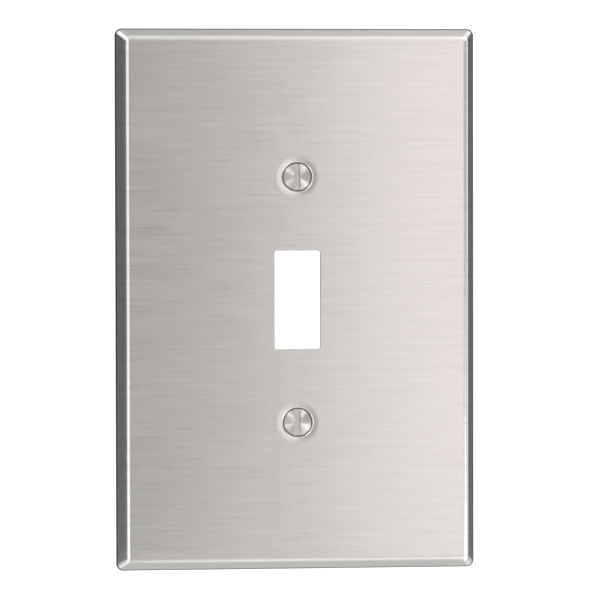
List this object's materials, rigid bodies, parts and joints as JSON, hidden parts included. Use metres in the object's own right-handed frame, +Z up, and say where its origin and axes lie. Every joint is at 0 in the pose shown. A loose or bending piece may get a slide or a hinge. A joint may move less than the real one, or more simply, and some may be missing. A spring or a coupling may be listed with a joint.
{
  "type": "toggle switch wall plate",
  "caption": "Oversize wall plate for a toggle switch, pressed from brushed stainless sheet, with slotted oval-head screws in dimpled holes.",
  "frame": {"origin": "centre of the plate's rear rim, on the wall plane", "axes": "+Z up along the plate's long side, +X to the right as the room sees it, +Y out of the back into the wall; the face looks along -Y"},
  "size_m": [0.0888, 0.009, 0.1334],
  "materials": {
    "plate_steel": "brushed, grain across the plate",
    "screw_steel": "bright"
  },
  "bodies": {
    "plate": {"wall_plate": "plate_steel"},
    "upper_screw": {"upper_screw": "screw_steel"},
    "lower_screw": {"lower_screw": "screw_steel"}
  },
  "joints": [
    {"name": "upper_screw_turn", "type": "hinge", "parent": "plate", "child": "upper_screw", "pos_m": [0, 0, 0.03016], "axis": [0, 1, 0], "continuous": true},
    {"name": "lower_screw_turn", "type": "hinge", "parent": "plate", "child": "lower_screw", "pos_m": [0, 0, -0.03016], "axis": [0, 1, 0], "continuous": true}
  ]
}
